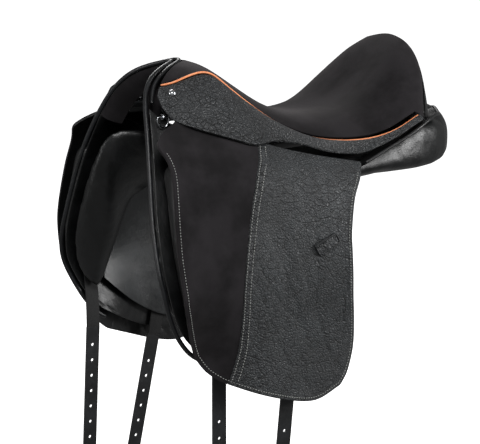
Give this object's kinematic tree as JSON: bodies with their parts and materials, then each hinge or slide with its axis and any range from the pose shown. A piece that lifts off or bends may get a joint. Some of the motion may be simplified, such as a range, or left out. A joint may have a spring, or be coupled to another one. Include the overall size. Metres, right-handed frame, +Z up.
{
  "type": "dressage saddle",
  "caption": "English dressage saddle: deep seat and high cantle on a moulded tree, stuffed panels, long straight flaps over knee blocks, stirrup bars and long girth straps.",
  "frame": {"origin": "on the symmetry plane, at the height of the horse's spine under the waist of the seat", "axes": "+Z up, +X towards the cantle, -X towards the pommel and the horse's head, +Y the off (right) side, -Y the near (left) side"},
  "size_m": [0.5629, 0.4642, 0.7481],
  "materials": {
    "moulded_tree": "moulded nylon, matt black",
    "steel": "polished, chromed",
    "foam": "cream foam, hidden",
    "suede": "brushed nubuck, charcoal, no shine",
    "smooth_leather": "smooth, black, soft sheen",
    "lining_leather": "smooth, black, dull",
    "grained_leather": "deep pebble grain, dark grey-black, creased",
    "orange_piping": "coloured piping, satin",
    "panel_leather": "soft smooth black leather over wool stuffing",
    "strap_leather": "smooth black strap leather with waxed edges",
    "webbing": "woven nylon, black"
  },
  "bodies": {
    "saddle": {"bar_rivet_1_left": "steel", "bar_rivet_1_right": "steel", "bar_rivet_2_left": "steel", "bar_rivet_2_right": "steel", "billet_root_front_left": "webbing", "billet_root_front_right": "webbing", "billet_root_rear_left": "webbing", "billet_root_rear_right": "webbing", "dee_staple_left": "steel", "dee_staple_right": "steel", "flap_top_left": "grained_leather", "flap_top_right": "grained_leather", "front_facing": "smooth_leather", "front_piping": "smooth_leather", "gullet_lining": "lining_leather", "head_plate": "steel", "knee_block_left": "smooth_leather", "knee_block_right": "smooth_leather", "panel_left": "panel_leather", "panel_lining_left": "lining_leather", "panel_lining_right": "lining_leather", "panel_piping_left": "smooth_leather", "panel_piping_right": "smooth_leather", "panel_right": "panel_leather", "pommel_piping": "smooth_leather", "rear_facing": "smooth_leather", "saddle_stud_left": "steel", "saddle_stud_right": "steel", "seat_cover": "suede", "seat_foam": "foam", "side_facing_left": "grained_leather", "side_facing_right": "grained_leather", "stirrup_bar_left": "steel", "stirrup_bar_right": "steel", "sweat_flap_left": "smooth_leather", "sweat_flap_right": "smooth_leather", "tree": "moulded_tree", "welt_left": "orange_piping", "welt_right": "orange_piping"},
    "flap_left": {"flap_left": "grained_leather", "flap_front_left": "suede", "stirrup_keeper_left": "grained_leather"},
    "skirt_left": {"skirt_left": "grained_leather"},
    "safety_catch_left": {"safety_catch_left": "steel"},
    "dee_ring_left": {"dee_ring_left": "steel"},
    "flap_right": {"flap_right": "grained_leather", "flap_front_right": "suede", "stirrup_keeper_right": "grained_leather"},
    "skirt_right": {"skirt_right": "grained_leather"},
    "safety_catch_right": {"safety_catch_right": "steel"},
    "dee_ring_right": {"dee_ring_right": "steel"},
    "billet_front_left": {"billet_front_left": "strap_leather"},
    "billet_front_right": {"billet_front_right": "strap_leather"},
    "billet_rear_left": {"billet_rear_left": "strap_leather"},
    "billet_rear_right": {"billet_rear_right": "strap_leather"}
  },
  "joints": [
    {"name": "flap_left_lift", "type": "hinge", "parent": "saddle", "child": "flap_left", "pos_m": [-0.22, -0.144, 0.152], "axis": [-0.978, 0.161, 0.1324], "range_deg": [0, 60]},
    {"name": "skirt_left_lift", "type": "hinge", "parent": "saddle", "child": "skirt_left", "pos_m": [-0.183, -0.0984, 0.2062], "axis": [-0.9671, 0.1769, 0.1826], "range_deg": [0, 50]},
    {"name": "safety_catch_left_turn", "type": "hinge", "parent": "saddle", "child": "safety_catch_left", "pos_m": [-0.0875, -0.1055, 0.1865], "axis": [0, 1, 0], "range_deg": [0, 75]},
    {"name": "dee_ring_left_swing", "type": "hinge", "parent": "saddle", "child": "dee_ring_left", "pos_m": [-0.182, -0.0935, 0.184], "axis": [-1, 0, 0], "range_deg": [0, 60]},
    {"name": "flap_right_lift", "type": "hinge", "parent": "saddle", "child": "flap_right", "pos_m": [-0.22, 0.144, 0.152], "axis": [0.978, 0.161, -0.1324], "range_deg": [0, 60]},
    {"name": "skirt_right_lift", "type": "hinge", "parent": "saddle", "child": "skirt_right", "pos_m": [-0.183, 0.0984, 0.2062], "axis": [0.9671, 0.1769, -0.1826], "range_deg": [0, 50]},
    {"name": "safety_catch_right_turn", "type": "hinge", "parent": "saddle", "child": "safety_catch_right", "pos_m": [-0.0875, 0.1055, 0.1865], "axis": [0, 1, 0], "range_deg": [0, 75]},
    {"name": "dee_ring_right_swing", "type": "hinge", "parent": "saddle", "child": "dee_ring_right", "pos_m": [-0.182, 0.0935, 0.184], "axis": [1, 0, 0], "range_deg": [0, 60]},
    {"name": "billet_front_left_swing", "type": "hinge", "parent": "saddle", "child": "billet_front_left", "pos_m": [-0.1275, -0.15942, -0.176], "axis": [-1, 0, 0], "range_deg": [-30, 45]},
    {"name": "billet_front_right_swing", "type": "hinge", "parent": "saddle", "child": "billet_front_right", "pos_m": [-0.187, 0.14693, -0.176], "axis": [0.9989, 0, -0.0471], "range_deg": [-30, 45]},
    {"name": "billet_rear_left_swing", "type": "hinge", "parent": "saddle", "child": "billet_rear_left", "pos_m": [-0.025, -0.18656, -0.212], "axis": [-0.9956, 0, 0.0941], "range_deg": [-30, 45]},
    {"name": "billet_rear_right_swing", "type": "hinge", "parent": "saddle", "child": "billet_rear_right", "pos_m": [-0.059, 0.18655, -0.212], "axis": [0.9799, 0, -0.1994], "range_deg": [-30, 45]}
  ]
}
